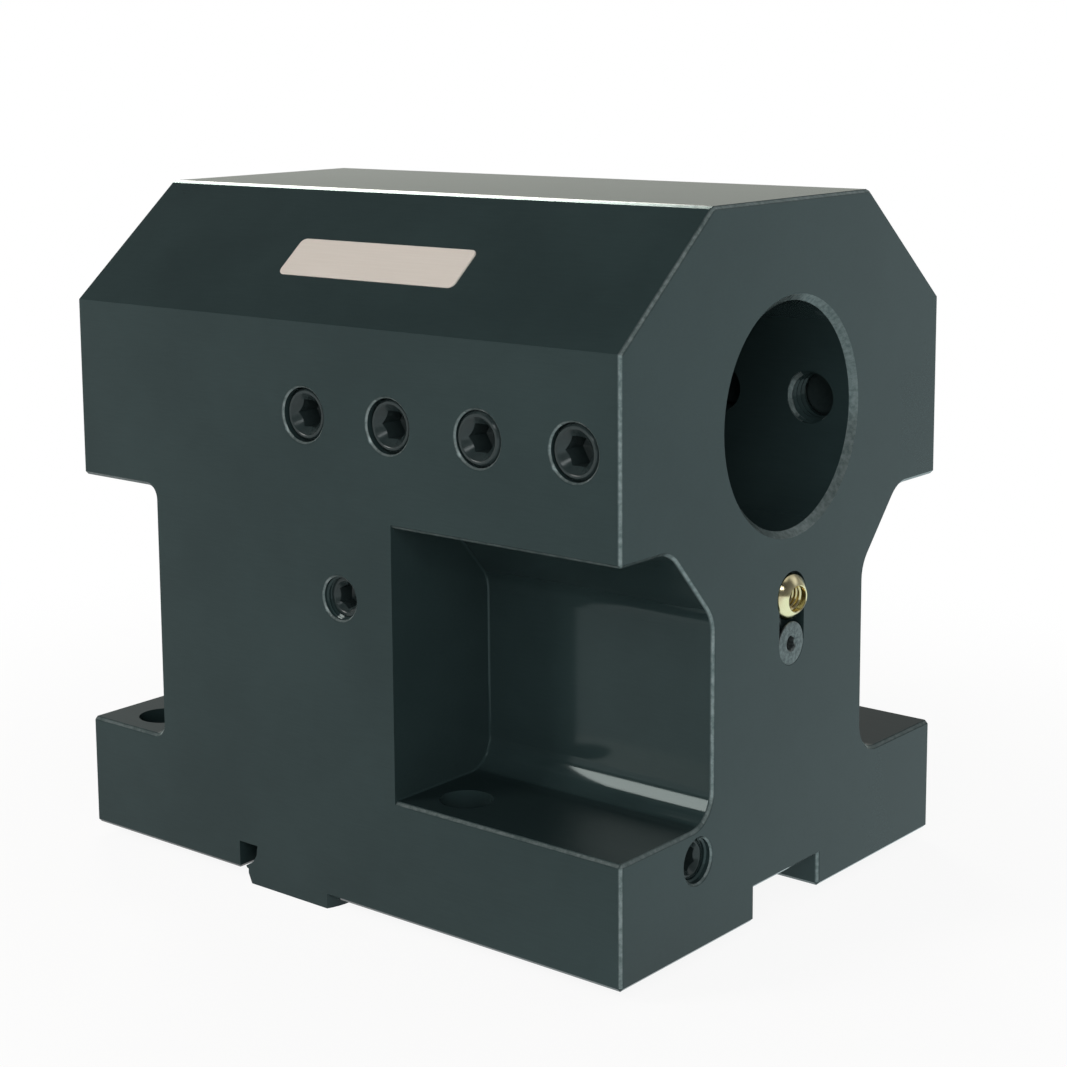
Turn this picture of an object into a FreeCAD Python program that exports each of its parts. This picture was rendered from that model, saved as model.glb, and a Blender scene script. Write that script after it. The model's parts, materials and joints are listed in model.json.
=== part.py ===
import FreeCAD, Part
import Sketcher
import os
import re

# Boring bar holder for a tool turret: one machined steel block that bolts down
# through its base and clamps a round bar in its bore with rows of set screws.
# The origin is the centre of the four base bolts, on the mounting face.
# +X points out of the bore's mouth, -Y at the face that the screws are seen in,
# and +Z up from the mounting face to the crown. All sizes are millimetres.

SIZES = [
    # block
    ("front_reach", 99.0, "bolt centre to the mouth face"),
    ("rear_reach", 62.5, "bolt centre to the rear face"),
    ("block_width", 124.0, "across the two long sides"),
    ("block_height", 156.5, "mounting face to the crown"),
    ("shoulder_height", 130.0, "mounting face to the foot of the sloping sides"),
    ("crown_width", 61.0, "flat on top between the sloping sides"),
    ("edge_bevel", 0.8, "bevel on the outer edges"),
    # base and the reliefs that clear the base bolts
    ("base_thickness", 27.0, "height of the base plate"),
    ("head_underside", 87.5, "mounting face to the underside of the head"),
    ("rear_wall", 37.0, "bolt centre back to the rear wall of the column"),
    ("pocket_wall", 38.0, "bolt centre forward to the end wall of the side pockets"),
    ("web_width", 60.0, "wall left between the two side pockets"),
    ("web_head_width", 90.0, "the same wall where it meets the head"),
    ("slope_foot", 71.0, "height at which the wall starts to widen"),
    ("floor_radius", 7.0, "fillet along the pocket floors"),
    ("slope_radius", 8.0, "rounding at both ends of the pocket's slope"),
    ("corner_radius", 0.5, "fillet round the end wall of each pocket"),
    ("relief_radius", 3.0, "fillets of the rear relief"),
    # bar bore
    ("bore_radius", 25.0, "bar bore"),
    ("bore_height", 109.5, "mounting face to the bore's axis"),
    ("bore_chamfer", 1.5, "chamfer at both mouths of the bore"),
    # clamp screws
    ("screw_count", 4, "clamp screws on each side"),
    ("screw_pitch", 25.0, "spacing of the clamp screws"),
    ("screw_inset", 11.6, "mouth face to the first clamp screw"),
    ("screw_radius", 6.0, "outside of the clamp screw's thread"),
    ("screw_length", 30.0, "clamp screw"),
    ("screw_clearance", 0.05, "radial play of a clamp screw in its hole"),
    ("screw_rim", 0.75, "bevel at the outer end of a clamp screw"),
    ("screw_tip", 1.6, "bevel at the inner end of a clamp screw"),
    ("screw_hex", 6.0, "hexagon socket across its flats"),
    ("screw_hex_depth", 7.0, "depth of that socket"),
    ("hole_lead", 0.5, "countersink at the mouth of each threaded hole"),
    ("deep_recess", 1.1, "long side to a clamp screw that is turned well in"),
    ("first_recess", 0.6, "long side to the left screw nearest the mouth"),
    ("second_recess", 0.25, "long side to the next left screw, nearly flush"),
    # base bolts
    ("bolt_spacing_x", 98.0, "base bolts along the bore"),
    ("bolt_spacing_y", 102.0, "base bolts across the bore"),
    ("bolt_hole_radius", 6.0, "clearance hole of a base bolt"),
    # keyway and cross tongue of the mounting face
    ("keyway_width", 25.5, "keyway below the mouth face"),
    ("keyway_height", 7.5, "depth of the keyway up into the base"),
    ("keyway_length", 30.0, "length of the keyway from the mouth face"),
    ("keyway_shift", -0.75, "keyway's centre line from the bore's axis"),
    ("tongue_width", 28.0, "cross tongue that stands below the mounting face"),
    ("tongue_drop", 2.7, "height of the tongue"),
    ("tongue_shift", 4.0, "bolt centre forward to the middle of the tongue"),
    ("tongue_end", 56.0, "bore's middle plane to the centre of the tongue's round ends"),
    ("undercut_height", 6.8, "height of the relief beside the tongue"),
    ("undercut_reach", 14.0, "length of that relief from the long side"),
    ("undercut_gap", 1.4, "outer wall of the relief to the line of the tongue's flank"),
    ("undercut_width", 5.9, "width of the relief at its widest"),
    ("undercut_step", 4.4, "height at which the relief's inner wall starts to curve in"),
    ("undercut_waist", 4.4, "width of the relief halfway round that curve"),
    ("undercut_bend", 2.7, "height of that place"),
    ("undercut_lip", 1.25, "height of the lip at the tongue's root"),
    ("undercut_lip_place", 2.0, "outer wall of the relief to that lip"),
    ("undercut_lean", 1.8, "how far the tongue's flank leans in from the lip to its foot"),
    # coolant channels and their plugs
    ("feed_height", 69.8, "mounting face to the feed channel and the nozzle"),
    ("feed_radius", 3.5, "feed channel"),
    ("riser_place", 22.4, "bolt centre forward to the riser and the side plug"),
    ("riser_side", 35.0, "bore's axis out to the riser and the front plug"),
    ("riser_radius", 4.0, "riser and cross channels"),
    ("inlet_place", 70.0, "bolt centre forward to the coolant inlet"),
    ("gallery_height", 20.0, "mounting face to the gallery behind the front plug"),
    ("plug_radius", 4.8, "outside of a plug's thread"),
    ("plug_length", 8.0, "screwed plug"),
    ("plug_recess", 2.2, "face to a screwed plug"),
    ("plug_hex", 5.0, "hexagon socket of a plug"),
    ("plug_hex_depth", 4.5, "depth of that socket"),
    ("side_plug_turn", 30.0, "how far the side plug's socket is turned, degrees"),
    ("press_plug_length", 7.0, "pressed plug that closes the riser"),
    ("press_plug_recess", 1.0, "mounting face to the pressed plug"),
    ("seal_ring_radius", 6.0, "inlet seal, middle of its ring"),
    ("seal_section", 2.6, "side of the seal's square section"),
    ("seal_proud", 0.3, "how far the inlet seal stands below the mounting face"),
    ("seal_groove_width", 3.2, "face groove that holds the inlet seal"),
    # eyeball nozzle and the screw that locks it
    ("ball_radius", 5.15, "nozzle ball"),
    ("ball_clearance", 0.08, "play around the ball"),
    ("ball_depth", 1.0, "mouth face back to the ball's centre"),
    ("nose_reach", 2.8, "ball's centre to the nozzle's flat nose"),
    ("nose_radius", 3.1, "flat nose"),
    ("nose_lead", 0.4, "countersink of the nozzle's thread"),
    ("nozzle_thread_radius", 2.5, "threaded hole of the nozzle"),
    ("nozzle_thread_depth", 5.5, "depth of that hole"),
    ("nozzle_jet_radius", 1.5, "passage from the hole to the channel"),
    ("nozzle_tilt", 3.0, "nozzle's tilt below the bore's axis at rest, degrees"),
    ("nozzle_turn", 7.0, "nozzle's turn to the left of the bore's axis, degrees"),
    ("seat_mouth_radius", 5.7, "wider mouth of the hole that the ball lies in"),
    ("seat_mouth_depth", 2.0, "depth of that mouth"),
    ("nozzle_ring_radius", 3.2, "nozzle seal, radius at which the ball bears on its cone"),
    ("nozzle_ring_width", 1.8, "nozzle seal, outside radius less inside radius"),
    ("nozzle_ring_wall", 0.9, "nozzle seal, thickness behind its cone"),
    ("lock_screw_drop", 10.4, "nozzle's centre down to the lock screw"),
    ("lock_head_radius", 4.85, "countersunk head"),
    ("lock_head_height", 2.7, "countersunk head"),
    ("lock_shank_radius", 2.5, "thread of the lock screw"),
    ("lock_length", 16.0, "lock screw over all"),
    ("lock_hex", 3.0, "hexagon socket of the lock screw"),
    ("lock_hex_depth", 2.0, "depth of that socket"),
    ("lock_slot_depth", 3.0, "slot between the ball and the lock screw"),
    ("seat_clearance", 0.05, "play under and around fixed screws"),
    # every cutting shape
    ("overrun", 1.0, "how far a cutting shape runs past the surface that it opens"),
]
SIZE_NAMES = {name for name, number, meaning in SIZES}

HALF_TURN = 180.0
QUARTER_TURN = 90.0
LEFT, RIGHT = -1, 1

# Millimetres within which an edge counts as lying at a size, and the cosine above
# which it counts as running along an axis.
NEAR = 0.01
ALONG = 0.99
# Where a sketch's corners stand before their sizes pull them into place.
FIRST_CIRCLE = 100.0

X_AXIS = FreeCAD.Vector(1, 0, 0)
Y_AXIS = FreeCAD.Vector(0, 1, 0)
Z_AXIS = FreeCAD.Vector(0, 0, 1)
TURNS = {
    "+x": FreeCAD.Rotation(Y_AXIS, QUARTER_TURN),
    "-x": FreeCAD.Rotation(Y_AXIS, -QUARTER_TURN),
    "+y": FreeCAD.Rotation(X_AXIS, -QUARTER_TURN),
    "-y": FreeCAD.Rotation(X_AXIS, QUARTER_TURN),
    "+z": FreeCAD.Rotation(),
    "-z": FreeCAD.Rotation(X_AXIS, HALF_TURN),
}

doc = FreeCAD.newDocument("boring_bar_holder")
sheet = doc.addObject("Spreadsheet::Sheet", "sizes")
for row, (name, number, meaning) in enumerate(SIZES, start=1):
    sheet.set(f"A{row}", name)
    sheet.set(f"B{row}", str(number))
    sheet.set(f"C{row}", meaning)
    sheet.setAlias(f"B{row}", name)
doc.recompute()


def size(name):
    """The number that a size has in the sheet."""
    return float(sheet.get(name))


def linked(text):
    """A formula on size names, as the document reads it."""
    return re.sub(
        r"[a-z_]+", lambda word: "sizes." + word[0] if word[0] in SIZE_NAMES else word[0], str(text)
    )


def bind(thing, **formulas):
    """Ties properties of an object to formulas on the sizes."""
    for prop, text in formulas.items():
        thing.setExpression(prop, linked(text))
    return thing


def place(thing, at, along="+z"):
    """Puts an object's own origin at a point given by three formulas, its +Z turned along."""
    thing.Placement = FreeCAD.Placement(FreeCAD.Vector(), TURNS[along])
    for letter, text in zip("xyz", at):
        thing.setExpression(f"Placement.Base.{letter}", linked(text))
    return thing


def box(name, low, spans):
    """A block from its low corner and its three spans."""
    thing = doc.addObject("Part::Box", name)
    bind(thing, Length=spans[0], Width=spans[1], Height=spans[2])
    return place(thing, low)


def rod(name, radius, length, at, along="+z"):
    """A round bar that starts at a point and runs along an axis."""
    thing = doc.addObject("Part::Cylinder", name)
    bind(thing, Radius=radius, Height=length)
    return place(thing, at, along)


def taper(name, first, last, length, at, along="+z"):
    """A cone from one radius to another."""
    thing = doc.addObject("Part::Cone", name)
    bind(thing, Radius1=first, Radius2=last, Height=length)
    return place(thing, at, along)


def hexagon(name, flats, length, at, along="+z"):
    """A six-sided prism, its size given across the flats."""
    thing = doc.addObject("Part::Prism", name)
    thing.Polygon = 6
    bind(thing, Circumradius=f"({flats}) / sqrt(3)", Height=length)
    return place(thing, at, along)


def joined(name, pieces):
    thing = doc.addObject("Part::MultiFuse", name)
    thing.Shapes = pieces
    thing.Refine = True
    return thing


def common(name, first, second):
    thing = doc.addObject("Part::Common", name)
    thing.Base = first
    thing.Tool = second
    return thing


def cut(name, base, tools):
    thing = doc.addObject("Part::Cut", name)
    thing.Base = base
    thing.Tool = tools[0] if len(tools) == 1 else joined(name + "_tools", tools)
    thing.Refine = True
    return thing


def sketch(body, name, plane, corners, offset="0"):
    """A closed outline whose corners are each held at two formulas from the origin."""
    drawing = body.newObject("Sketcher::SketchObject", name)
    support = [f for f in body.Origin.OriginFeatures if f.Role == plane][0]
    drawing.AttachmentSupport = (support, [""])
    drawing.MapMode = "FlatFace"
    drawing.setExpression("AttachmentOffset.Base.z", linked(offset))
    count = len(corners)
    start = [
        FreeCAD.Rotation(Z_AXIS, 2 * HALF_TURN * k / count).multVec(X_AXIS) * FIRST_CIRCLE
        for k in range(count)
    ]
    for k in range(count):
        drawing.addGeometry(Part.LineSegment(start[k], start[(k + 1) % count]), False)
    for k in range(count):
        drawing.addConstraint(Sketcher.Constraint("Coincident", k, 2, (k + 1) % count, 1))
    for k, corner in enumerate(corners):
        for kind, text, first in zip(("DistanceX", "DistanceY"), corner, (start[k].x, start[k].y)):
            index = drawing.addConstraint(Sketcher.Constraint(kind, -1, 1, k, 1, first))
            drawing.renameConstraint(index, f"{kind}_{k}")
            drawing.setExpression(f"Constraints.{kind}_{k}", linked(text))
    doc.recompute()
    return drawing


def pad(body, drawing, length, both=False):
    feature = body.newObject("PartDesign::Pad", drawing.Name + "_pad")
    feature.Profile = drawing
    feature.Midplane = both
    bind(feature, Length=length)
    doc.recompute()
    return feature


def pocket(body, drawing, length, both=False, back=False):
    """Cuts an outline into the solid, and stops the build if nothing came away."""
    before = body.Shape.Volume
    feature = body.newObject("PartDesign::Pocket", drawing.Name + "_cut")
    feature.Profile = drawing
    feature.Midplane = both
    feature.Reversed = back
    bind(feature, Length=length)
    doc.recompute()
    if not body.Shape.Volume < before:
        raise RuntimeError(f"{feature.Name} cuts nothing")
    return feature


def straight_edges(shape, wanted):
    """Names of the straight edges whose middle point and direction pass a test."""
    names = []
    for k, edge in enumerate(shape.Edges, start=1):
        if isinstance(edge.Curve, (Part.Line, Part.LineSegment)):
            if wanted(edge.CenterOfMass, edge.Curve.Direction):
                names.append(f"Edge{k}")
    return names


def kept_sharp(middle, direction):
    """A test for the outer edges without a bevel: at the pockets' end walls and the slopes' feet."""
    at_end_wall = abs(middle.x - size("pocket_wall")) < NEAR and abs(direction.z) > ALONG
    at_slope_foot = abs(middle.z - size("shoulder_height")) < NEAR and abs(direction.x) > ALONG
    return at_end_wall or at_slope_foot


def outer_corners(shape):
    """Names of the straight edges between two flat faces where the solid stands out."""
    names = []
    for k, edge in enumerate(shape.Edges, start=1):
        faces = shape.ancestorsOfType(edge, Part.Face)
        flat = [f for f in faces if isinstance(f.Surface, Part.Plane)]
        if len(flat) != 2 or not isinstance(edge.Curve, Part.Line):
            continue
        first, second = (f.normalAt(0, 0) for f in flat)
        if shape.isInside(edge.CenterOfMass + (first - second) * NEAR, NEAR / 10, False):
            continue
        if not kept_sharp(edge.CenterOfMass, edge.Curve.Direction):
            names.append(f"Edge{k}")
    return names


def dress(body, kind, name, edges, radius):
    """Fillets or bevels the named edges of the body's last feature."""
    base = body.Tip
    feature = body.newObject("PartDesign::" + kind, name)
    feature.Base = (base, edges)
    bind(feature, **{"Radius" if kind == "Fillet" else "Size": radius})
    doc.recompute()
    return feature


# Block: an extruded outline with sloping shoulders.
body = doc.addObject("PartDesign::Body", "block")
outline = [
    ("-block_width / 2", "0"),
    ("block_width / 2", "0"),
    ("block_width / 2", "shoulder_height"),
    ("crown_width / 2", "block_height"),
    ("-crown_width / 2", "block_height"),
    ("-block_width / 2", "shoulder_height"),
]
pad(body, sketch(body, "end_outline", "YZ_Plane", outline, "-rear_reach"), "front_reach + rear_reach")

# Rear relief: it runs across the block, above the rear base bolts.
relief = [
    ("-rear_reach - overrun", "base_thickness"),
    ("-rear_wall", "base_thickness"),
    ("-rear_wall", "head_underside"),
    ("-rear_reach - overrun", "head_underside"),
]
pocket(body, sketch(body, "rear_relief", "XZ_Plane", relief), "block_width + 2 * overrun", both=True)


def at_relief_corner(middle, direction):
    on_wall = abs(middle.x + size("rear_wall")) < NEAR
    between = size("base_thickness") - NEAR < middle.z < size("head_underside") + NEAR
    return on_wall and between and abs(direction.y) > ALONG


dress(body, "Fillet", "relief_fillets", straight_edges(body.Shape, at_relief_corner), "relief_radius")

# Side pockets: one on each long side, open to the mouth face, above the front base bolts.
for side, word in ((LEFT, "left"), (RIGHT, "right")):
    walls = [
        (f"{side} * (block_width / 2 + overrun)", "base_thickness"),
        (f"{side} * web_width / 2", "base_thickness"),
        (f"{side} * web_width / 2", "slope_foot"),
        (f"{side} * web_head_width / 2", "head_underside"),
        (f"{side} * (block_width / 2 + overrun)", "head_underside"),
    ]
    drawing = sketch(body, word + "_pocket", "YZ_Plane", walls, "pocket_wall")
    pocket(body, drawing, "front_reach - pocket_wall + overrun", back=True)


def along_pocket(full_width, height):
    """A test for the straight edges that run along both pockets at one corner of their outline."""

    def wanted(middle, direction):
        aside = abs(abs(middle.y) - size(full_width) / 2) < NEAR
        level = abs(middle.z - size(height)) < NEAR
        return aside and level and abs(direction.x) > ALONG

    return wanted


def at_pocket_corner(middle, direction):
    on_wall = abs(middle.x - size("pocket_wall")) < NEAR
    on_web = abs(abs(middle.y) - size("web_width") / 2) < NEAR
    return on_wall and on_web and abs(direction.z) > ALONG


for name, full_width, height, radius in (
    ("floor_fillets", "web_width", "base_thickness", "floor_radius"),
    ("foot_fillets", "web_width", "slope_foot", "slope_radius"),
    ("head_fillets", "web_head_width", "head_underside", "slope_radius"),
):
    dress(body, "Fillet", name, straight_edges(body.Shape, along_pocket(full_width, height)), radius)

# Keyway in the mounting face, open to the mouth face.
keyway = [
    ("keyway_shift - keyway_width / 2", "-overrun"),
    ("keyway_shift + keyway_width / 2", "-overrun"),
    ("keyway_shift + keyway_width / 2", "keyway_height"),
    ("keyway_shift - keyway_width / 2", "keyway_height"),
]
drawing = sketch(body, "keyway", "YZ_Plane", keyway, "front_reach - keyway_length")
pocket(body, drawing, "keyway_length + overrun", back=True)

# The bevels come before the corners' fillets, which would carry them on along the end walls.
dress(body, "Chamfer", "outer_bevels", outer_corners(body.Shape), "edge_bevel")
dress(body, "Fillet", "corner_fillets", straight_edges(body.Shape, at_pocket_corner), "corner_radius")

# Cross tongue: a bar with round ends below the mounting face, cut flush with the long sides.
tongue_bar = box(
    "tongue_bar",
    ("tongue_shift - tongue_width / 2", "-tongue_end", "-tongue_drop"),
    ("tongue_width", "2 * tongue_end", "tongue_drop + edge_bevel"),
)
tongue_ends = [
    rod(
        f"tongue_end_{word}",
        "tongue_width / 2",
        "tongue_drop + edge_bevel",
        ("tongue_shift", f"{side} * tongue_end", "-tongue_drop"),
    )
    for side, word in ((LEFT, "left"), (RIGHT, "right"))
]
tongue_space = box(
    "tongue_space",
    ("tongue_shift - tongue_width", "-block_width / 2", "-tongue_drop"),
    ("2 * tongue_width", "block_width", "tongue_drop + edge_bevel"),
)
tongue = common("tongue", joined("tongue_whole", [tongue_bar] + tongue_ends), tongue_space)
blank = joined("blank", [body, tongue])

# Tools that drill the block.
drills = []

# Bar bore with a chamfer at each mouth.
drills.append(
    rod(
        "bar_bore",
        "bore_radius",
        "front_reach + rear_reach + 2 * overrun",
        ("-rear_reach - overrun", "0", "bore_height"),
        "+x",
    )
)
for word, start, along in (("front", "front_reach", "-x"), ("rear", "-rear_reach", "+x")):
    drills.append(
        taper(
            f"bore_mouth_{word}",
            "bore_radius + bore_chamfer",
            "bore_radius",
            "bore_chamfer",
            (start, "0", "bore_height"),
            along,
        )
    )

# Threaded holes of the clamp screws, from both long sides into the bore.
SIDES = (("left", LEFT, "+y"), ("right", RIGHT, "-y"))
for word, side, inward in SIDES:
    face = f"{side} * block_width / 2"
    for k in range(int(size("screw_count"))):
        place_x = f"front_reach - screw_inset - {k} * screw_pitch"
        drills.append(
            rod(
                f"clamp_hole_{word}_{k + 1}",
                "screw_radius + screw_clearance",
                "block_width / 2",
                (place_x, face, "bore_height"),
                inward,
            )
        )
        drills.append(
            taper(
                f"clamp_mouth_{word}_{k + 1}",
                "screw_radius + screw_clearance + hole_lead",
                "screw_radius + screw_clearance",
                "hole_lead",
                (place_x, face, "bore_height"),
                inward,
            )
        )

# Base bolt holes.
for end, ahead in (("rear", -1), ("front", 1)):
    for word, side, inward in SIDES:
        drills.append(
            rod(
                f"bolt_hole_{end}_{word}",
                "bolt_hole_radius",
                "base_thickness + 2 * overrun",
                (f"{ahead} * bolt_spacing_x / 2", f"{side} * bolt_spacing_y / 2", "-overrun"),
            )
        )

# Coolant: inlet and gallery in the base, riser in the column, then the feed to the nozzle.
BALL_X = "front_reach - ball_depth"
CONTACT_BACK = "sqrt((ball_radius + ball_clearance) ^ 2 - nozzle_ring_radius ^ 2)"
CONE_DEPTH = f"(nozzle_ring_width * nozzle_ring_radius / {CONTACT_BACK})"
CONE_X = f"{BALL_X} - {CONTACT_BACK} - {CONE_DEPTH} / 2"
SEAT_X = f"{CONE_X} - nozzle_ring_wall"
drills += [
    rod("inlet_hole", "riser_radius", "gallery_height", ("inlet_place", "-riser_side", "0")),
    rod(
        "gallery",
        "riser_radius",
        "front_reach - riser_place",
        ("riser_place", "-riser_side", "gallery_height"),
        "+x",
    ),
    rod("riser", "riser_radius", "feed_height", ("riser_place", "-riser_side", "0")),
    rod(
        "cross_channel",
        "riser_radius",
        "block_width / 2",
        ("riser_place", "-block_width / 2", "feed_height"),
        "+y",
    ),
    rod(
        "feed_channel",
        "feed_radius",
        f"{SEAT_X} - riser_place + overrun",
        ("riser_place", "0", "feed_height"),
        "+x",
    ),
]
for word, at, inward in (
    ("side", ("riser_place", "-block_width / 2", "feed_height"), "+y"),
    ("front", ("front_reach", "-riser_side", "gallery_height"), "-x"),
):
    drills += [
        rod(
            f"{word}_plug_hole",
            "plug_radius + seat_clearance",
            "plug_recess + plug_length + overrun",
            at,
            inward,
        ),
        taper(
            f"{word}_plug_mouth",
            "plug_radius + seat_clearance + hole_lead",
            "plug_radius + seat_clearance",
            "hole_lead",
            at,
            inward,
        ),
    ]

# Face groove round the inlet for its seal.
GROOVE_DEPTH = "seal_section - seal_proud"
inlet = ("inlet_place", "-riser_side", "0")
groove = cut(
    "seal_groove",
    rod("groove_outside", "seal_ring_radius + seal_groove_width / 2", GROOVE_DEPTH, inlet),
    [rod("groove_inside", "seal_ring_radius - seal_groove_width / 2", GROOVE_DEPTH, inlet)],
)
drills.append(groove)

# Nozzle seat, the slot below it and the countersunk seat of the lock screw.
LOCK_Z = "feed_height - lock_screw_drop"
BALL_HOLE = "ball_radius + ball_clearance"
SLOT_HALF = "(lock_head_radius + seat_clearance)"
drills += [
    rod("ball_seat", BALL_HOLE, f"front_reach - ({SEAT_X})", (SEAT_X, "0", "feed_height"), "+x"),
    rod(
        "seat_mouth",
        "seat_mouth_radius",
        "seat_mouth_depth",
        ("front_reach", "0", "feed_height"),
        "-x",
    ),
    box(
        "lock_slot",
        ("front_reach - lock_slot_depth", f"-{SLOT_HALF}", LOCK_Z),
        ("lock_slot_depth", f"2 * {SLOT_HALF}", "lock_screw_drop"),
    ),
    taper(
        "lock_seat",
        "lock_head_radius + seat_clearance",
        "lock_shank_radius + seat_clearance",
        "lock_head_height",
        ("front_reach", "0", LOCK_Z),
        "-x",
    ),
    rod(
        "lock_hole",
        "lock_shank_radius + seat_clearance",
        "lock_length + overrun",
        ("front_reach", "0", LOCK_Z),
        "-x",
    ),
]

# Relief beside the tongue: wide inside, narrow where it opens at the mounting face.
undercut = doc.addObject("PartDesign::Body", "undercut")
FLANK = "tongue_shift - tongue_width / 2"
WALL = f"{FLANK} - undercut_gap"
relief_outline = [
    (f"{WALL} - edge_bevel - overrun", "-overrun"),
    (WALL, "edge_bevel"),
    (WALL, "undercut_height"),
    (f"{WALL} + undercut_width", "undercut_height"),
    (f"{WALL} + undercut_width - edge_bevel / 2", "undercut_step"),
    (f"{WALL} + undercut_waist", "undercut_bend"),
    (f"{WALL} + undercut_lip_place", "undercut_lip"),
    (f"{WALL} + undercut_lip_place + undercut_lean", "-tongue_drop"),
    (f"{WALL} + undercut_lip_place + undercut_lean", "-tongue_drop - overrun"),
    (f"{WALL} - edge_bevel - overrun", "-tongue_drop - overrun"),
]
drawing = sketch(undercut, "undercut_outline", "XZ_Plane", relief_outline, "block_width / 2 + overrun")
pad(undercut, drawing, "undercut_reach + overrun").Reversed = True
drills.append(undercut)

cut("holder_body", blank, drills)


def set_screw(label, radius, length, rim, tip, flats, socket, at, outward, turn="0"):
    """A headless screw: bevelled at both ends, with a hexagon socket in its outer end."""
    own = ("0", "0", "0")
    shank = joined(
        label + "_shank",
        [
            taper(label + "_tip", f"{radius} - {tip}", radius, tip, ("0", "0", f"-({length})")),
            rod(label + "_rod", radius, f"{length} - {tip} - {rim}", ("0", "0", f"{tip} - ({length})")),
            taper(label + "_rim", radius, f"{radius} - {rim}", rim, ("0", "0", f"-({rim})")),
        ],
    )
    key = hexagon(label + "_socket", flats, f"{socket} + overrun", ("0", "0", f"-({socket})"))
    key.setExpression("Placement.Rotation.Angle", linked(turn))
    screw = cut(label, shank, [key])
    return place(screw, at, outward)


# Clamp screws. The two left ones nearest the mouth are turned less far in than the rest.
RECESSES = {("left", 1): "first_recess", ("left", 2): "second_recess"}
for word, side, inward in SIDES:
    outward = "-y" if side == LEFT else "+y"
    for k in range(int(size("screw_count"))):
        recess = RECESSES.get((word, k + 1), "deep_recess")
        set_screw(
            f"clamp_screw_{word}_{k + 1}",
            "screw_radius",
            "screw_length",
            "screw_rim",
            "screw_tip",
            "screw_hex",
            "screw_hex_depth",
            (
                f"front_reach - screw_inset - {k} * screw_pitch",
                f"{side} * (block_width / 2 - {recess})",
                "bore_height",
            ),
            outward,
        )

# Plugs that close the drilled channels.
for label, at, outward, turn in (
    ("side_plug", ("riser_place", "plug_recess - block_width / 2", "feed_height"), "-y", "side_plug_turn"),
    ("front_plug", ("front_reach - plug_recess", "-riser_side", "gallery_height"), "+x", "0"),
):
    set_screw(
        label,
        "plug_radius",
        "plug_length",
        "hole_lead",
        "hole_lead",
        "plug_hex",
        "plug_hex_depth",
        at,
        outward,
        turn,
    )
rod(
    "riser_plug",
    "riser_radius",
    "press_plug_length",
    ("riser_place", "-riser_side", "press_plug_recess"),
)

# Inlet seal: a square rubber ring in its face groove.
seal_foot = ("inlet_place", "-riser_side", "-seal_proud")
cut(
    "inlet_seal",
    rod("inlet_seal_outside", "seal_ring_radius + seal_section / 2", "seal_section", seal_foot),
    [rod("inlet_seal_inside", "seal_ring_radius - seal_section / 2", "seal_section", seal_foot)],
)

# Nozzle: a ball turned to a cone at the front, drilled and threaded for a jet.
ball = doc.addObject("Part::Sphere", "nozzle_ball")
bind(ball, Radius="ball_radius")
CONE_START = "nose_reach - (ball_radius - nose_radius)"
envelope = joined(
    "nozzle_envelope",
    [
        rod("nozzle_back", "ball_radius", f"ball_radius + {CONE_START}", ("0", "0", "-ball_radius")),
        taper(
            "nozzle_cone",
            "ball_radius",
            "nose_radius",
            "ball_radius - nose_radius",
            ("0", "0", CONE_START),
        ),
    ],
)
nozzle = cut(
    "coolant_nozzle",
    common("nozzle_blank", ball, envelope),
    [
        rod(
            "nozzle_thread",
            "nozzle_thread_radius",
            "nozzle_thread_depth + overrun",
            ("0", "0", "nose_reach - nozzle_thread_depth"),
        ),
        taper(
            "nozzle_lead",
            "nozzle_thread_radius",
            "nozzle_thread_radius + nose_lead",
            "nose_lead",
            ("0", "0", "nose_reach - nose_lead"),
        ),
        rod("nozzle_jet", "nozzle_jet_radius", "2 * ball_radius", ("0", "0", "-ball_radius")),
    ],
)
DROOP = f"rotation(vector(0; 1; 0); {QUARTER_TURN} + nozzle_tilt)"
SWING = "rotation(vector(0; 0; 1); -nozzle_turn)"
nozzle.setExpression(
    "Placement", linked(f"placement(vector({BALL_X}; 0; feed_height); {SWING} * {DROOP})")
)

# Nozzle seal: a ring at the bottom of the seat, with a cone that the ball turns on.
RING_OUTSIDE = "nozzle_ring_radius + nozzle_ring_width / 2"
RING_INSIDE = "nozzle_ring_radius - nozzle_ring_width / 2"
RING_DEPTH = f"nozzle_ring_wall + {CONE_DEPTH}"
seat_bottom = (SEAT_X, "0", "feed_height")
cone_foot = (CONE_X, "0", "feed_height")
cut(
    "nozzle_seal",
    rod("nozzle_seal_outside", RING_OUTSIDE, RING_DEPTH, seat_bottom, "+x"),
    [
        rod("nozzle_seal_inside", RING_INSIDE, RING_DEPTH, seat_bottom, "+x"),
        taper("nozzle_seal_cone", RING_INSIDE, RING_OUTSIDE, CONE_DEPTH, cone_foot, "+x"),
    ],
)

# Lock screw: countersunk, flush with the mouth face, its head beside the ball.
lock_blank = joined(
    "lock_blank",
    [
        taper(
            "lock_head",
            "lock_shank_radius",
            "lock_head_radius",
            "lock_head_height",
            ("0", "0", "-lock_head_height"),
        ),
        rod(
            "lock_shank",
            "lock_shank_radius",
            "lock_length - lock_head_height",
            ("0", "0", "-lock_length"),
        ),
    ],
)
lock_key = hexagon("lock_socket", "lock_hex", "lock_hex_depth + overrun", ("0", "0", "-lock_hex_depth"))
lock_screw = cut("nozzle_lock_screw", lock_blank, [lock_key])
place(lock_screw, ("front_reach", "0", LOCK_Z), "+x")

doc.recompute()

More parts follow.
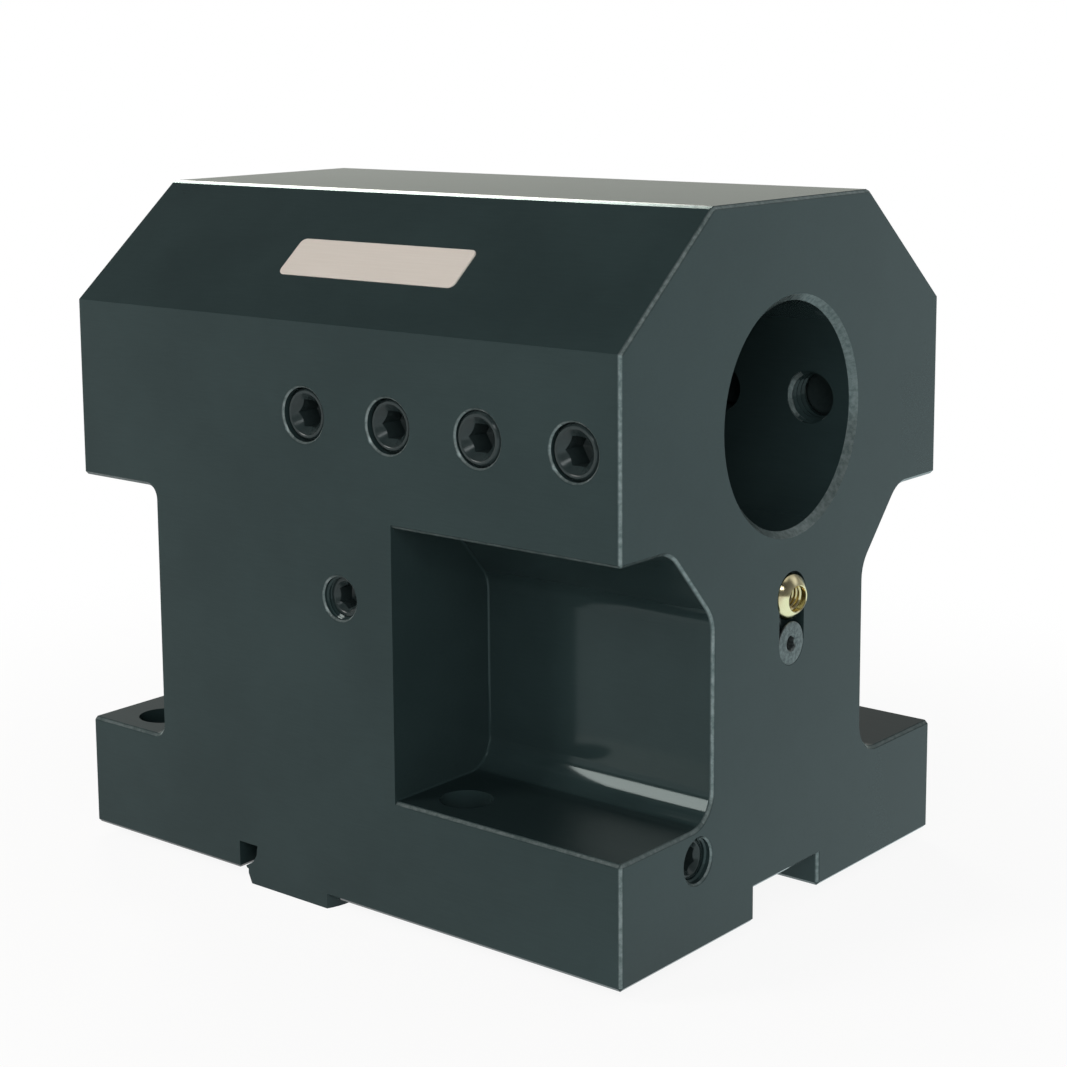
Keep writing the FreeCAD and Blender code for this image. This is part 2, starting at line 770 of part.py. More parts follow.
# Each separate piece, by the name of its file.
SCREWS = [
    f"clamp_screw_{word}_{k + 1}" for word, side, inward in SIDES for k in range(int(size("screw_count")))
]
NODES = ["holder_body"] + SCREWS + [
    "side_plug",
    "front_plug",
    "riser_plug",
    "inlet_seal",
    "coolant_nozzle",
    "nozzle_seal",
    "nozzle_lock_screw",
]

for thing in doc.Objects:
    faults = [state for state in thing.State if state in ("Invalid", "Error")]
    if faults:
        raise RuntimeError(f"{thing.Name}: {faults}")

os.makedirs("parts", exist_ok=True)
for node in NODES:
    piece = doc.getObject(node)
    shape = piece.Shape
    if shape.isNull() or not shape.isValid() or len(shape.Solids) != 1:
        raise RuntimeError(f"{node} is not one sound solid")
    piece.Label = node
    shape.exportStep(f"parts/{node}.step")
    print(node, round(shape.Volume, 1), len(shape.Faces))
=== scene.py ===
import json
import math

import bmesh
import bpy
from mathutils import Matrix, Vector


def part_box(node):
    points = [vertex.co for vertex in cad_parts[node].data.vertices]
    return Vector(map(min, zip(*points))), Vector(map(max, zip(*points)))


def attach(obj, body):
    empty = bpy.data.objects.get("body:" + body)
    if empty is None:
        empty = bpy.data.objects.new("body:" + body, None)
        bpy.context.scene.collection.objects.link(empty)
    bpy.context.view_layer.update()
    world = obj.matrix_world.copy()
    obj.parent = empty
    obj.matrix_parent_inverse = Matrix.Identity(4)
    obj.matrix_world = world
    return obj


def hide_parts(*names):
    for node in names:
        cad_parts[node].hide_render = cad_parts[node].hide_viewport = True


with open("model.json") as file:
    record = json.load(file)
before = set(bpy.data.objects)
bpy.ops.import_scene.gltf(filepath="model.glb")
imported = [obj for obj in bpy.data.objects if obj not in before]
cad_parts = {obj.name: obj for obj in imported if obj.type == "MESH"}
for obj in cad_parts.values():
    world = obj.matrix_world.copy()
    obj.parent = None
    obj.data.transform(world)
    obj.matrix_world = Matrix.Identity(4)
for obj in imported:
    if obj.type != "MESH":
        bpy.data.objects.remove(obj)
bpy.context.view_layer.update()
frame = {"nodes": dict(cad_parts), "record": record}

MM = 0.001

# Planes of the block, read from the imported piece, and sizes that the block shares with its looks.
BLOCK_LOW, BLOCK_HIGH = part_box("holder_body")
REAR, MOUTH = BLOCK_LOW.x, BLOCK_HIGH.x
SIDE, CROWN = BLOCK_HIGH.y, BLOCK_HIGH.z
SHOULDER = 130 * MM
CROWN_HALF = 30.5 * MM
BEVEL = 0.8 * MM
BORE_RADIUS = 25 * MM
BORE_CHAMFER = 1.5 * MM
BORE_HEIGHT = 109.5 * MM
POCKET_FLOOR = 27 * MM

# The two rows of clamp screws: which way each looks out of the block.
ROWS = {"left": -1, "right": 1}
PER_ROW = (1, 2, 3, 4)


class Wire:
    """A node's output socket that can be used in arithmetic."""

    def __init__(self, board, socket):
        self.board = board
        self.socket = socket

    def maths(self, operation, *values):
        return self.board.node("ShaderNodeMath", {"operation": operation}, list(values))

    def __add__(self, other):
        return self.maths("ADD", self, other)

    def __radd__(self, other):
        return self.maths("ADD", other, self)

    def __sub__(self, other):
        return self.maths("SUBTRACT", self, other)

    def __rsub__(self, other):
        return self.maths("SUBTRACT", other, self)

    def __mul__(self, other):
        return self.maths("MULTIPLY", self, other)

    def __rmul__(self, other):
        return self.maths("MULTIPLY", other, self)

    def __truediv__(self, other):
        return self.maths("DIVIDE", self, other)

    def __abs__(self):
        return self.maths("ABSOLUTE", self)

    def least(self, other):
        return self.maths("MINIMUM", self, other)

    def most(self, other):
        return self.maths("MAXIMUM", self, other)

    def above(self, other):
        return self.maths("GREATER_THAN", self, other)

    def below(self, other):
        return self.maths("LESS_THAN", self, other)

    def step(self, low, high):
        """0 at low, 1 at high, smooth between them."""
        settings = {"interpolation_type": "SMOOTHSTEP"}
        return self.board.node("ShaderNodeMapRange", settings, {0: self, 1: low, 2: high})


class Board:
    """A node tree and the one call that adds a node to it."""

    def __init__(self, tree):
        self.tree = tree

    def feed(self, socket, value):
        if isinstance(value, Wire):
            self.tree.links.new(value.socket, socket)
        else:
            socket.default_value = value

    def node(self, kind, settings=None, inputs=None, out=0):
        made = self.tree.nodes.new(kind)
        for name, value in (settings or {}).items():
            setattr(made, name, value)
        pairs = inputs.items() if isinstance(inputs, dict) else enumerate(inputs or [])
        for key, value in pairs:
            self.feed(made.inputs[key], value)
        return Wire(self, made.outputs[out])

    def split(self, vector):
        """The three parts of a vector."""
        first = self.node("ShaderNodeSeparateXYZ", {}, [vector])
        return [Wire(self, output) for output in first.socket.node.outputs]


class Finish(Board):
    """A material's nodes."""

    def __init__(self, name):
        self.material = bpy.data.materials.new(name)
        self.material.use_nodes = True
        super().__init__(self.material.node_tree)
        self.tree.nodes.clear()
        self.output = self.tree.nodes.new("ShaderNodeOutputMaterial")

    def place(self):
        """The point's own coordinates, in metres."""
        return self.node("ShaderNodeTexCoord", out="Object")

    def leaning(self):
        """How much the surface faces along each axis, 0 to 1."""
        return [abs(part) for part in self.split(self.node("ShaderNodeTexCoord", out="Normal"))]

    def stretched(self, scale):
        """Object coordinates with each axis scaled by its own factor."""
        return self.node("ShaderNodeMapping", {}, {"Vector": self.place(), "Scale": scale})

    def noise(self, scale, detail=3.0, roughness=0.5, vector=None):
        inputs = {
            "Vector": vector or self.place(),
            "Scale": scale,
            "Detail": detail,
            "Roughness": roughness,
        }
        return self.node("ShaderNodeTexNoise", {}, inputs)

    def vector_maths(self, operation, *values, out=0):
        return self.node("ShaderNodeVectorMath", {"operation": operation}, list(values), out)

    def mix(self, factor, first, second):
        """A colour between two colours."""
        made = self.tree.nodes.new("ShaderNodeMix")
        made.data_type = "RGBA"
        for key, value in ((0, factor), (6, first), (7, second)):
            if not isinstance(value, Wire) and key:
                value = (*value, 1.0)
            self.feed(made.inputs[key], value)
        return Wire(self, made.outputs[2])

    def bump(self, height, distance, strength):
        inputs = {"Height": height, "Distance": distance, "Strength": strength}
        return self.node("ShaderNodeBump", {}, inputs)

    def surface(self, **values):
        """The principled surface that the material ends in."""
        made = self.node("ShaderNodeBsdfPrincipled")
        for name, value in values.items():
            socket = made.socket.node.inputs[name.replace("_", " ")]
            if isinstance(value, tuple):
                value = (*value, 1.0)
            self.feed(socket, value)
        self.tree.links.new(made.socket, self.output.inputs["Surface"])
        return self.material


def edge_wear_and_painted_glint(finish):
    """1 along the middle of the bevels that lie at the block's outer planes, above its foot: worn
    edges that are also painted pale as a highlight.
    """
    x, y, z = finish.split(finish.place())
    lean_x, lean_y, lean_z = finish.leaning()
    edges = None
    for depth, lean, least in (
        ((MOUTH - x).least(x - REAR), lean_x, 0.3),
        (SIDE - abs(y), lean_y, 0.68),
        (CROWN - z, lean_z, 0.85),
    ):
        middle = depth.step(0.0, 0.3 * BEVEL) * (1 - depth.step(0.6 * BEVEL, 1.0 * BEVEL))
        here = middle * lean.above(least) * lean.below(0.985)
        edges = here if edges is None else edges.most(here)
    from_axis = distance(y, z - BORE_HEIGHT)
    edges = edges * z.above(1.1 * BEVEL) * from_axis.above(BORE_RADIUS + BORE_CHAMFER)
    # Painted highlight turned down: upward bevels below the shoulder are made less pale.
    return edges * (1 - 0.45 * lean_z.above(0.6) * z.below(SHOULDER))


def bore_rim(finish):
    """1 on the chamfer at each mouth of the bore."""
    _, y, z = finish.split(finish.place())
    lean_x = finish.leaning()[0]
    from_axis = distance(y, z - BORE_HEIGHT)
    return lean_x.above(0.3) * lean_x.below(0.985) * from_axis.below(BORE_RADIUS + BORE_CHAMFER)


def distance(first, second):
    """How far a point is from an axis, from its two coordinates across it."""
    squares = first * first + second * second
    return squares.maths("SQRT", squares)


def steel_block():
    """Blackened steel: fine milling marks, dull pocket floors darkened by painted shade, paler
    where an edge is broken, with painted highlights along the edge bevels and the bore's chamfer.
    """
    finish = Finish("blackened_block")
    grain = finish.noise(1.0, 4.0, 0.6, finish.stretched((180.0, 900.0, 2600.0)))
    cloud = finish.noise(28.0, 3.0, 0.55)
    tone = 0.72 * cloud + 0.28 * grain
    patchy_wear_and_glint = finish.noise(900.0, 4.0, 0.65).step(0.25, 0.75)
    edges = edge_wear_and_painted_glint(finish)
    # Painted highlight: the bore's chamfer is painted pale in place of a light's reflection on it.
    rim = bore_rim(finish)
    wear_and_painted_glint = edges.most(0.6 * rim)
    x, _, z = finish.split(finish.place())
    # Pocket floors: milled rougher, and their colour darkened below as painted shade.
    milled_and_shaded_floor = finish.leaning()[2].above(0.95) * z.below(POCKET_FLOOR + BEVEL) * x.above(0.0)
    colour = finish.mix(tone.step(0.3, 0.7), (0.017, 0.030, 0.031), (0.022, 0.038, 0.039))
    colour = finish.mix(milled_and_shaded_floor, colour, (0.012, 0.022, 0.023))
    # Worn edges and painted highlights: pale, patchy steel on the edge bevels and the bore's
    # chamfer.
    pale = finish.mix(patchy_wear_and_glint, (0.09, 0.125, 0.125), (0.24, 0.285, 0.285))
    return finish.surface(
        Base_Color=finish.mix(wear_and_painted_glint, colour, pale),
        Metallic=wear_and_painted_glint * 0.4,
        Roughness=0.07 + 0.06 * grain + 0.20 * wear_and_painted_glint + 0.25 * milled_and_shaded_floor,
        Specular_IOR_Level=0.34,
        Specular_Tint=(0.80, 1.0, 1.0),
        Normal=finish.bump(grain, 0.00001, 0.3),
    )


def screw_steel():
    finish = Finish("blackened_screw")
    tone = finish.noise(900.0, 3.0)
    return finish.surface(
        Base_Color=finish.mix(tone, (0.017, 0.028, 0.029), (0.030, 0.044, 0.045)),
        Metallic=0.2,
        Roughness=0.16 + 0.10 * tone,
    )


def plain_steel():
    """Dull grey steel with a rough skin."""
    finish = Finish("dull_steel")
    tone = finish.noise(1400.0, 4.0, 0.6)
    return finish.surface(
        Base_Color=finish.mix(tone.step(0.35, 0.65), (0.09, 0.11, 0.11), (0.19, 0.22, 0.22)),
        Metallic=0.8,
        Roughness=0.34 + 0.16 * tone,
        Normal=finish.bump(tone, 0.00004, 0.5),
    )


def brass():
    """Bright turned brass, with painted shade making it darker down in its threaded hole."""
    finish = Finish("turned_brass")
    tone = finish.noise(700.0, 2.0)
    turned = finish.mix(tone, (0.92, 0.82, 0.47), (0.98, 0.90, 0.60))
    mount = named(frame["record"]["mounts"], "nozzle_thread")
    offset = finish.vector_maths("SUBTRACT", finish.place(), mount["pos_m"])
    across = finish.vector_maths("CROSS_PRODUCT", offset, mount["axis"])
    from_axis = finish.vector_maths("LENGTH", across, out=1)
    return finish.surface(
        # Painted shade: darker, deeper brass inside the threaded hole.
        Base_Color=finish.mix(from_axis.step(2.3 * MM, 3.0 * MM), (0.42, 0.29, 0.09), turned),
        Metallic=1.0,
        Roughness=0.14 + 0.10 * tone,
    )


def pale_plate():
    """Satin metal foil, faintly brushed along its length."""
    finish = Finish("pale_plate")
    brushed = finish.noise(1.0, 3.0, 0.6, finish.stretched((60.0, 2500.0, 2500.0)))
    return finish.surface(
        Base_Color=finish.mix(brushed, (0.56, 0.52, 0.47), (0.64, 0.60, 0.55)),
        Roughness=0.38 + 0.10 * brushed,
    )


def rubber():
    finish = Finish("seal_rubber")
    tone = finish.noise(1500.0, 3.0)
    return finish.surface(
        Base_Color=finish.mix(tone, (0.012, 0.012, 0.012), (0.024, 0.024, 0.024)),
        Roughness=0.6 + 0.2 * tone,
    )


def named(rows, name):
    """The entry of a record's list that has a name."""
    return [row for row in rows if row["name"] == name][0]


FINISHES = {
    "black_steel": steel_block(),
    "screw_steel": screw_steel(),
    "plain_steel": plain_steel(),
    "nozzle_brass": brass(),
    "seal_rubber": rubber(),
}
PLATE = pale_plate()


def thread_tree():
    """A helical ridge about +Z that starts at the origin, and copies of it along a line."""
    tree = bpy.data.node_groups.new("thread", "GeometryNodeTree")
    board = Board(tree)
    tree.interface.new_socket("Geometry", in_out="OUTPUT", socket_type="NodeSocketGeometry")
    for name, kind in (
        ("Root", "Float"),
        ("Crest", "Float"),
        ("Pitch", "Float"),
        ("Turns", "Float"),
        ("Copies", "Int"),
        ("Spacing", "Vector"),
        ("Material", "Material"),
    ):
        tree.interface.new_socket(name, in_out="INPUT", socket_type="NodeSocket" + kind)
    sockets = tree.nodes.new("NodeGroupInput").outputs
    given = {socket.name: Wire(board, socket) for socket in sockets}
    steps, corners = 36, 5
    root_half, crest_half, run_out = 0.40, 0.08, 18

    last = given["Turns"] * steps
    grid_sizes = {"Vertices X": last + 1, "Vertices Y": corners}
    grid = board.node("GeometryNodeMeshGrid", {}, grid_sizes)
    index = board.node("GeometryNodeInputIndex")
    share = index / corners
    turn = share.maths("FLOOR", share)
    corner = index - turn * corners
    on_crest = abs(corner - 1.5).below(0.75)
    above = corner.above(1.5) * corner.below(3.5) * 2 - 1
    grown = (turn / run_out).least((last - turn) / run_out).least(1.0)
    half = above * grown * given["Pitch"] * (root_half + on_crest * (crest_half - root_half))
    radius = given["Root"] + (given["Crest"] - given["Root"]) * on_crest * grown
    angle = turn * (2 * math.pi / steps)
    along = given["Pitch"] * turn / steps + half
    spot = [radius * angle.maths("COSINE", angle), radius * angle.maths("SINE", angle), along]
    spot = board.node("ShaderNodeCombineXYZ", {}, spot)
    ridge = board.node("GeometryNodeSetPosition", {}, {"Geometry": grid, "Position": spot})
    ridge = board.node("GeometryNodeMergeByDistance", {}, {"Geometry": ridge, "Distance": 1e-7})
    line = {"Count": given["Copies"], "Offset": given["Spacing"]}
    line = board.node("GeometryNodeMeshLine", {"mode": "OFFSET"}, line)
    copies = board.node("GeometryNodeInstanceOnPoints", {}, {"Points": line, "Instance": ridge})
    whole = board.node("GeometryNodeRealizeInstances", {}, {"Geometry": copies})
    skin = {"Geometry": whole, "Material": given["Material"]}
    whole = board.node("GeometryNodeSetMaterial", {}, skin)
    board.feed(tree.nodes.new("NodeGroupOutput").inputs[0], whole)
    return tree


THREAD = thread_tree()


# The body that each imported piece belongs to.
BODY_OF = {
    node: body for body, nodes in frame["record"]["behaviour"]["bodies"].items() for node in nodes
}


def looking(direction):
    """The turn that takes +Z to a direction and keeps +X where it can."""
    return Vector((0, 0, 1)).rotation_difference(Vector(direction)).to_matrix().to_4x4()


def as_piece(name, mesh, body):
    """Puts a mesh in the scene as a piece that rides on a body."""
    mesh.set_sharp_from_angle(angle=math.radians(32))
    piece = bpy.data.objects.new(name, mesh)
    bpy.context.scene.collection.objects.link(piece)
    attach(piece, body)
    return piece


def thread_mesh(material, matrix, root, crest, pitch, turns, copies=1, spacing=(0, 0, 0)):
    """The ridge of a thread as a plain closed mesh, put in its place."""
    scratch = bpy.data.objects.new("thread", bpy.data.meshes.new("thread"))
    bpy.context.scene.collection.objects.link(scratch)
    modifier = scratch.modifiers.new("thread", "NODES")
    modifier.node_group = THREAD
    values = {
        "Root": root,
        "Crest": crest,
        "Pitch": pitch,
        "Turns": float(turns),
        "Copies": copies,
        "Spacing": spacing,
        "Material": material,
    }
    for item in THREAD.interface.items_tree:
        if item.in_out == "INPUT":
            modifier[item.identifier] = values[item.name]
    evaluated = scratch.evaluated_get(bpy.context.evaluated_depsgraph_get())
    mesh = bpy.data.meshes.new_from_object(evaluated)
    bpy.data.objects.remove(scratch)
    shell = bmesh.new()
    shell.from_mesh(mesh)
    bmesh.ops.remove_doubles(shell, verts=shell.verts, dist=1e-7)
    bmesh.ops.recalc_face_normals(shell, faces=shell.faces)
    shell.to_mesh(mesh)
    shell.free()
    mesh.transform(matrix)
    return mesh


def circle(radius):
    return lambda angle: radius


def hexagon(flats):
    """The outline of a hexagon, its size given across the flats."""
    sector = math.radians(60)
    return lambda angle: flats / 2 / math.cos(angle % sector - sector / 2)


def turned_mesh(material, matrix, rows, sides=72):
    """A closed mesh with one ring for each (height, outline), and a point where an outline is 0.

    Heights and outlines may be functions of the angle. Rows that don't start at a point make a
    ring, the last row joined to the first.
    """
    shell = bmesh.new()
    rings = []
    for height, outline in rows:
        if outline == 0:
            rings.append([shell.verts.new((0, 0, height))])
            continue
        reach = outline if callable(outline) else circle(outline)
        rise = height if callable(height) else circle(height)
        ring = []
        for k in range(sides):
            angle = 2 * math.pi * k / sides
            x, y = reach(angle) * math.cos(angle), reach(angle) * math.sin(angle)
            ring.append((x, y, rise(angle)))
        rings.append([shell.verts.new(point) for point in ring])
    if len(rings[0]) > 1:
        rings.append(rings[0])
    for first, second in zip(rings, rings[1:]):
        for k in range(sides):
            corners = [first[k % len(first)], first[(k + 1) % len(first)]]
            corners += [second[(k + 1) % len(second)], second[k % len(second)]]
            shell.faces.new(list(dict.fromkeys(corners)))
    bmesh.ops.recalc_face_normals(shell, faces=shell.faces)
    mesh = bpy.data.meshes.new("turned")
    shell.to_mesh(mesh)
    shell.free()
    for face in mesh.polygons:
        face.use_smooth = True
    mesh.materials.append(material)
    mesh.transform(matrix)
    return mesh


def merged(*meshes):
    """Several meshes of one material as one."""
    shell = bmesh.new()
    for mesh in meshes:
        shell.from_mesh(mesh)
    whole = bpy.data.meshes.new("merged")
    shell.to_mesh(whole)
    shell.free()
    for face in whole.polygons:
        face.use_smooth = True
    whole.materials.append(meshes[0].materials[0])
    return whole


def socket_rows(flats, depth, mouth):
    """The rows of a hexagon socket, from the point at its bottom to the rim of its countersink."""
    drill = 0.25 * flats
    soft = 0.12 * MM
    key = hexagon(flats)
    return [
        (-depth - drill, 0),
        (-depth, key),
        (lambda angle: key(angle) - mouth, key),
        (-soft, mouth - soft),
        (-0.2 * soft, mouth - 0.1 * soft),
        (0, mouth + soft),
    ]


class Thread:
    """A thread: the screw's outside radius, the hole's radius, the pitch and the depth."""

    def __init__(self, screw, hole, pitch, depth):
        self.screw = screw
        self.hole = hole
        self.pitch = pitch
        self.depth = depth
        self.root = screw - 0.03 * MM - depth


# The clamp screws' thread of 12 mm, and the plugs' fine thread.
CLAMP_THREAD = Thread(6.0 * MM, 6.05 * MM, 1.75 * MM, 0.8 * MM)
PLUG_THREAD = Thread(4.8 * MM, 4.85 * MM, 0.907 * MM, 0.45 * MM)
# How far the clamp holes' thread starts from the bore's axis, and the plug holes' from the face.
CLAMP_THREAD_START = 25 * MM
PLUG_THREAD_DEPTH = 11 * MM


def set_screw(name, face, out, thread, length, tip, rim, socket, bottom, turn=0.0):
    """A headless screw that replaces its node.

    Its outer end is at face and looks along out. Its thread is in step with the hole's, which
    starts at bottom below the outer end. Both start at the same side of the hole, half a pitch
    from each other.
    """
    matrix = Matrix.Translation(face) @ looking(out)
    steel = FINISHES["screw_steel"]
    outside = thread.screw
    rows = socket_rows(*socket) + [
        (-0.04 * MM, outside - rim - 0.03 * MM),
        (-rim, outside - 0.08 * MM),
        (-rim - 0.12 * MM, outside - 0.03 * MM),
        (-rim - 0.4 * MM, outside - 0.05 * MM),
        (-rim - 0.75 * MM, thread.root),
        (0.4 * tip - length, thread.root),
        (0.05 * MM - length, outside - tip + 0.05 * MM),
        (-length, outside - tip - 0.1 * MM),
        (-length, 0.6 * outside),
        (tip - length, 0),
    ]
    core = turned_mesh(steel, matrix @ Matrix.Rotation(turn, 4, "Z"), rows)
    steps = math.floor((bottom - length) / thread.pitch) + 2.5
    foot = steps * thread.pitch - bottom
    turns = math.floor((-rim - 0.45 * MM - foot) / thread.pitch)
    start = matrix @ Matrix.Translation((0, 0, foot))
    root, crest = thread.root - 0.02 * MM, outside - 0.04 * MM
    ridge = thread_mesh(steel, start, root, crest, thread.pitch, turns)
    piece = as_piece(name + "_threaded", merged(core, ridge), BODY_OF[name])
    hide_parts(name)


def hole_threads(name, start, out, thread, length, copies=1, spacing=(0, 0, 0)):
    """The thread of a hole, or of a row of holes, from its inner end outwards."""
    matrix = Matrix.Translation(start) @ looking(out)
    turns = math.floor(length / thread.pitch)
    root, crest = thread.hole + 0.02 * MM, thread.hole - thread.depth
    steel = FINISHES["black_steel"]
    mesh = thread_mesh(steel, matrix, root, crest, thread.pitch, turns, copies, spacing)
    as_piece(name, mesh, "block")


def middle(name):
    low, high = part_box(name)
    return (low + high) / 2


def clamp_row(row):
    """One row of clamp screws and the threads of their four holes."""
    out = ROWS[row]
    for k in PER_ROW:
        name = f"clamp_screw_{row}_{k}"
        low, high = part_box(name)
        face = middle(name)
        face.y = high.y if out > 0 else low.y
        set_screw(
            name,
            face,
            (0, out, 0),
            CLAMP_THREAD,
            length=30 * MM,
            tip=1.6 * MM,
            rim=0.75 * MM,
            socket=(6 * MM, 7 * MM, 4.7 * MM),
            bottom=abs(face.y) - CLAMP_THREAD_START,
        )
    first, second = (middle(f"clamp_screw_{row}_{k}") for k in PER_ROW[:2])
    start = Vector((first.x, out * CLAMP_THREAD_START, first.z))
    length = SIDE - CLAMP_THREAD_START - 0.6 * MM
    spacing = (second.x - first.x, 0, 0)
    hole_threads(
        f"hole_threads_{row}", start, (0, out, 0), CLAMP_THREAD, length, len(PER_ROW), spacing
    )


def plug(name, out, turn):
    """A screwed plug of a coolant channel and the thread of its hole."""
    out = Vector(out)
    low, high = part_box(name)
    length = abs((high - low).dot(out))
    face = middle(name) + out * length / 2
    plane = MOUTH if out.x > 0 else SIDE
    start = middle(name)
    start += out * (plane - PLUG_THREAD_DEPTH - start.dot(out))
    set_screw(
        name,
        face,
        out,
        PLUG_THREAD,
        length=length,
        tip=0.5 * MM,
        rim=0.5 * MM,
        socket=(5 * MM, 4.5 * MM, 3.55 * MM),
        bottom=(face - start).dot(out),
        turn=turn,
    )
    hole_threads(name + "_hole_thread", start, out, PLUG_THREAD, PLUG_THREAD_DEPTH - 0.35 * MM)


def nozzle():
    """The brass ball: turned to a cone in front, drilled, and threaded for a jet."""
    mount = named(frame["record"]["mounts"], "nozzle_thread")
    hinge = named(frame["record"]["behaviour"]["joints"], "nozzle_tilt")
    centre, axis = Vector(hinge["pos_m"]), Vector(mount["axis"])
    matrix = Matrix.Translation(centre) @ looking(axis)
    ball, nose, jet = 5.15 * MM, 3.1 * MM, 1.5 * MM
    reach = (Vector(mount["pos_m"]) - centre).length
    root, crest, pitch = 2.88 * MM, 2.5 * MM, 1.0 * MM
    bottom = reach - 5.5 * MM
    # The cone leans 45 degrees: height and radius on it add up to a constant.
    cone = reach + nose
    edge = (cone - math.sqrt(2 * ball**2 - cone**2)) / 2
    first, last = math.asin(jet / ball), math.acos(edge / ball)
    back = math.pi - first
    rows = [
        (-ball * math.cos(first), jet),
        (bottom - 0.8 * MM, jet),
        (bottom, root),
        (reach - 0.16 * MM, root),
        (reach - 0.02 * MM, nose - 0.08 * MM),
        (reach, nose - 0.04 * MM),
        (reach - 0.02 * MM, nose + 0.01 * MM),
        (edge + 0.06 * MM, cone - edge - 0.07 * MM),
    ]
    steps = 20
    for k in range(1, steps):
        angle = last + 0.01 + (back - last - 0.01) * k / steps
        rows.append((ball * math.cos(angle), ball * math.sin(angle)))
    metal = FINISHES["nozzle_brass"]
    shell = turned_mesh(metal, matrix, rows)
    start = matrix @ Matrix.Translation((0, 0, bottom + 0.4 * MM))
    turns = math.floor((reach - bottom - 0.7 * MM) / pitch)
    ridge = thread_mesh(metal, start, root + 0.02 * MM, crest, pitch, turns)
    piece = as_piece("turned_nozzle", merged(shell, ridge), "nozzle")
    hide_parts("coolant_nozzle")


def lock_screw():
    """The countersunk screw below the ball."""
    name = "nozzle_lock_screw"
    low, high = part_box(name)
    face = middle(name)
    face.x = high.x
    length, head, shank = high.x - low.x, (high.z - low.z) / 2, 2.5 * MM
    matrix = Matrix.Translation(face) @ looking((1, 0, 0))
    steel = FINISHES["plain_steel"]
    thread = Thread(shank, shank, 0.8 * MM, 0.38 * MM)
    rows = socket_rows(3 * MM, 2 * MM, 1.9 * MM) + [
        (0, head - 0.28 * MM),
        (-0.05 * MM, head - 0.1 * MM),
        (-0.16 * MM, head - 0.02 * MM),
        (-0.34 * MM, head - 0.02 * MM),
        (-2.6 * MM, shank),
        (-3.2 * MM, thread.root),
        (0.5 * MM - length, thread.root),
        (-length, 1.7 * MM),
        (-length, 0),
    ]
    core = turned_mesh(steel, matrix, rows)
    start = matrix @ Matrix.Translation((0, 0, 0.8 * MM - length))
    turns = math.floor((length - 4.2 * MM) / thread.pitch)
    root, crest = thread.root - 0.02 * MM, shank - 0.02 * MM
    ridge = thread_mesh(steel, start, root, crest, thread.pitch, turns)
    piece = as_piece("countersunk_lock_screw", merged(core, ridge), "block")
    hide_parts(name)


def name_plate():
    """A plain pale plate with round corners on the sloping shoulder."""
    slope = Vector((0, SIDE - CROWN_HALF, CROWN - SHOULDER)).normalized()
    outward = Vector((0, -slope.z, slope.y))
    along, up_slope = 21.5 * MM, 18.9 * MM
    centre = Vector((along, -SIDE, SHOULDER)) + slope * up_slope
    half_length, half_height, corner = 26 * MM, 5.6 * MM, 1.6 * MM
    thick, edge = 0.35 * MM, 0.15 * MM
    outline = []
    for k, (side_x, side_y) in enumerate(((1, 1), (-1, 1), (-1, -1), (1, -1))):
        for step in range(7):
            angle = math.radians(90 * k + 15 * step)
            outline.append(
                (side_x * (half_length - corner), side_y * (half_height - corner), angle)
            )
    shell = bmesh.new()
    rings = []
    for height, inset in ((0, 0), (thick - edge, 0), (thick, edge)):
        ring = []
        for x, y, angle in outline:
            reach = corner - inset
            flat = Vector((x + reach * math.cos(angle), y + reach * math.sin(angle)))
            spot = centre + Vector((1, 0, 0)) * flat.x + slope * flat.y + outward * height
            ring.append(shell.verts.new(spot))
        rings.append(ring)
    for first, second in zip(rings, rings[1:]):
        for k in range(len(first)):
            after = (k + 1) % len(first)
            shell.faces.new((first[k], first[after], second[after], second[k]))
    shell.faces.new(rings[0])
    shell.faces.new(rings[-1])
    bmesh.ops.recalc_face_normals(shell, faces=shell.faces)
    mesh = bpy.data.meshes.new("plate")
    shell.to_mesh(mesh)
    shell.free()
    mesh.materials.append(PLATE)
    as_piece("plain_plate", mesh, "block")


def dress_nodes():
    """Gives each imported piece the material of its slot."""
    for part in frame["record"]["subparts"]:
        piece = frame["nodes"][part["node"]]
        piece.data.materials.clear()
        piece.data.materials.append(FINISHES[part["material_slot"]])


def camera():
    """The photograph's view: fitted to the block's edges, for a picture 1067 pixels square."""
    picture = 1067.0
    focal = 2237.0
    centre_x, centre_y = 481.3, 391.6
    right = Vector((0.76259, 0.64680, -0.010526))
    down = Vector((0.093147, -0.125896, -0.987661))
    ahead = Vector((-0.640141, 0.752200, -0.156254))
    eye = Vector((0.354475, -0.403584, 0.190473))
    data = bpy.data.cameras.new("camera")
    data.sensor_width = 36.0
    data.lens = focal / picture * data.sensor_width
    data.shift_x = (picture / 2 - centre_x) / picture
    data.shift_y = -(picture / 2 - centre_y) / picture
    data.clip_start = 0.01
    turn = Matrix((right, -down, -ahead)).transposed()
    thing = bpy.data.objects.new("camera", data)
    thing.matrix_world = Matrix.Translation(eye) @ turn.to_4x4()
    bpy.context.scene.collection.objects.link(thing)
    bpy.context.scene.camera = thing


def panel(name, at, toward, width, height, power, colour=(1.0, 1.0, 1.0)):
    """A soft box that faces a point."""
    data = bpy.data.lights.new(name, "AREA")
    data.shape = "RECTANGLE"
    data.size = width
    data.size_y = height
    data.energy = power
    data.color = colour
    thing = bpy.data.objects.new(name, data)
    thing.location = at
    thing.rotation_euler = (Vector(toward) - Vector(at)).to_track_quat("-Z", "Y").to_euler()
    bpy.context.scene.collection.objects.link(thing)
    return thing


